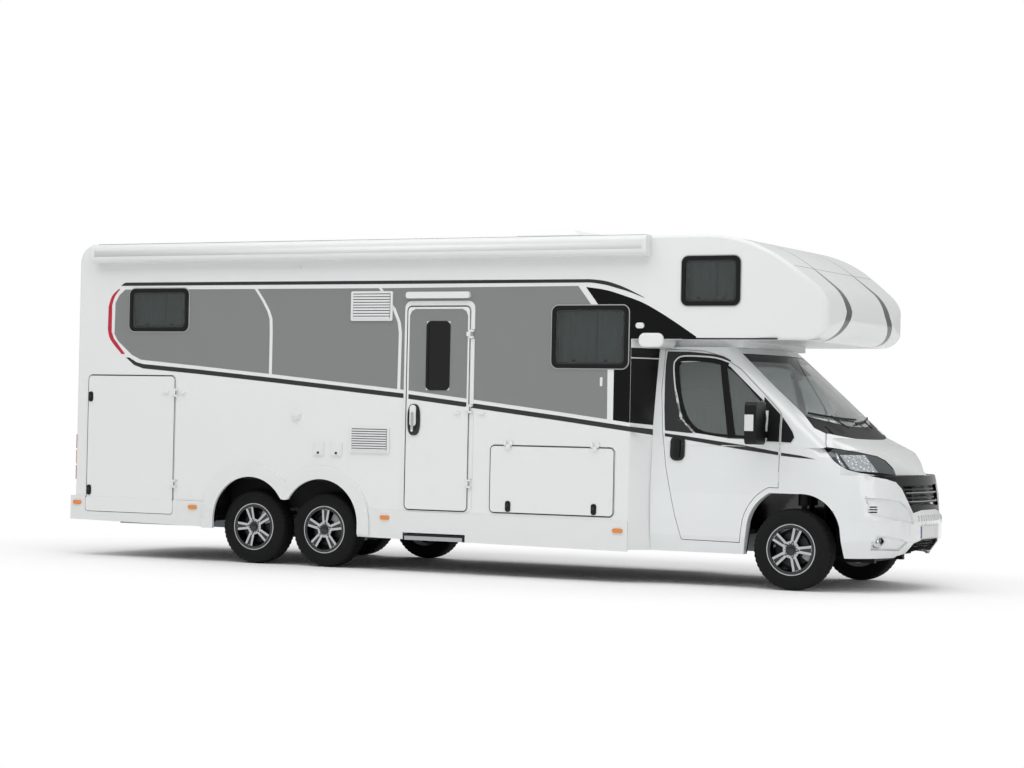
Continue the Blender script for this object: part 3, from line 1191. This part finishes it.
# A leather grain in soft plastic, with hardly any shine.
dash_black = surface("grained_dashboard", "#1D1E20", 0.55, grain=0.002, depth=0.00015)
dress(dash_black, "dashboard")
# Flat-woven cloth: matt, with a pale bloom at grazing angles.
seat_cloth = surface("dark_woven_seat_cloth", "#2B2C2E", 0.85, grain=0.003, depth=0.0006,
                     Sheen_Weight=0.25)
seats = copied("cab_seats", "seat_cushions")
modify(seats, "REMESH", mode="VOXEL", voxel_size=0.011)
modify(seats, "SMOOTH", factor=0.7, iterations=14)
for vertex in seats.data.vertices:
    x, y, z = vertex.co
    across = abs(abs(y) - SEAT_Y)
    if across < 0.17 and z > 0.80:
        channel = math.cos(2 * math.pi * (x + z) / CHANNEL_PITCH)
        dip = CHANNEL_DEEP * max(0.0, channel - 0.6) / 0.4
        vertex.co.x -= dip if x > axle_x - 1.06 and z > BACK_FOOT else 0.0
        vertex.co.z -= dip if z < BACK_FOOT else 0.0
    if abs(across - PIPING) < 0.012:
        vertex.co += Vector((-0.002, 0, -0.002))
seats.data.update()
pick(seats)
bpy.ops.object.shade_smooth()
wear(seats, seat_cloth, "coach")
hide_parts("cab_seats")


# ---- Floor, light and camera ----------------------------------------------------------
# A plain pale floor under wide soft panels, as in a daylight studio. Away from the vehicle
# the floor runs out into the white backdrop, without a horizon.
bpy.ops.object.select_all(action="DESELECT")
bpy.ops.mesh.primitive_plane_add(size=80, location=(0, 0, 0))
ground = bpy.context.object
ground.name = "floor_plane"
paper = surface("studio_floor", "#FFFFFF", 0.9)
tree = paper.node_tree
REACH = (1 / 6.0, 1 / 3.2, 0)   # the pale patch is longer than it is wide
far = add(tree, "ShaderNodeVectorMath", {
    0: add(tree, "ShaderNodeTexCoord").outputs["Object"], 1: REACH}, operation="MULTIPLY")
length = add(tree, "ShaderNodeVectorMath", {0: far.outputs[0]}, operation="LENGTH")
fade = add(tree, "ShaderNodeMapRange", {"Value": length.outputs["Value"], "From Min": 0.55,
                                        "From Max": 1.25}, interpolation_type="SMOOTHSTEP")
rays = add(tree, "ShaderNodeLightPath").outputs
seen = inside(tree, *[[(rays[f"Is {kind} Ray"], 0.5, 1.5)]
                      for kind in ("Camera", "Glossy", "Transmission")])
share = add(tree, "ShaderNodeMath", {0: fade.outputs["Result"], 1: seen}, operation="MULTIPLY")
glow = add(tree, "ShaderNodeEmission", {"Color": linear("#FFFFFF"), "Strength": 1.0})
blend = add(tree, "ShaderNodeMixShader", {
    0: share.outputs[0], 1: tree.nodes["Principled BSDF"].outputs[0], 2: glow.outputs[0]})
put(tree, tree.nodes["Material Output"], {"Surface": blend.outputs[0]})
ground.data.materials.append(paper)

world = bpy.data.worlds.new("studio")
bpy.context.scene.world = world
world.use_nodes = True
tree = world.node_tree
tree.nodes.clear()
sky, white = [add(tree, "ShaderNodeBackground", {"Color": linear("#FFFFFF"), "Strength": power})
              for power in (0.55, 1.0)]
rays = add(tree, "ShaderNodeLightPath").outputs
seen = inside(tree, *[[(rays[f"Is {kind} Ray"], 0.5, 1.5)]
                      for kind in ("Camera", "Transmission")])
mix = add(tree, "ShaderNodeMixShader", {0: seen, 1: sky.outputs[0], 2: white.outputs[0]})
put(tree, add(tree, "ShaderNodeOutputWorld"), {"Surface": mix.outputs[0]})

for place, angles, wide, deep, energy in (
        ((0, -6, 11), (28, 0, 0), 18, 8, 780), ((0, 8, 10), (-38, 0, 0), 16, 7, 380),
        ((13, -5, 5), (65, 0, 69), 6, 4, 90)):
    bpy.ops.object.light_add(type="AREA", location=place,
                             rotation=[math.radians(angle) for angle in angles])
    lamp = bpy.context.object.data
    lamp.shape = "RECTANGLE"
    lamp.size, lamp.size_y, lamp.energy = wide, deep, energy

eye = bpy.data.cameras.new("camera")
eye.sensor_width = 36
eye.lens = 85.5
camera = linked("camera", eye)
bpy.context.scene.camera = camera
turn, rise, roll = math.radians(26.987), math.radians(0.848), math.radians(1.138)
ahead = Vector((-math.sin(turn) * math.cos(rise), math.cos(turn) * math.cos(rise), math.sin(rise)))
level = Vector((math.cos(turn), math.sin(turn), 0))
upright = level.cross(ahead)
aside = level * math.cos(roll) + upright * math.sin(roll)
up = upright * math.cos(roll) - level * math.sin(roll)
camera.matrix_world = Matrix(((aside.x, up.x, -ahead.x, 10.806), (aside.y, up.y, -ahead.y, -21.047),
                              (aside.z, up.z, -ahead.z, 1.442), (0, 0, 0, 1)))
bpy.context.scene.view_settings.view_transform = "Standard"
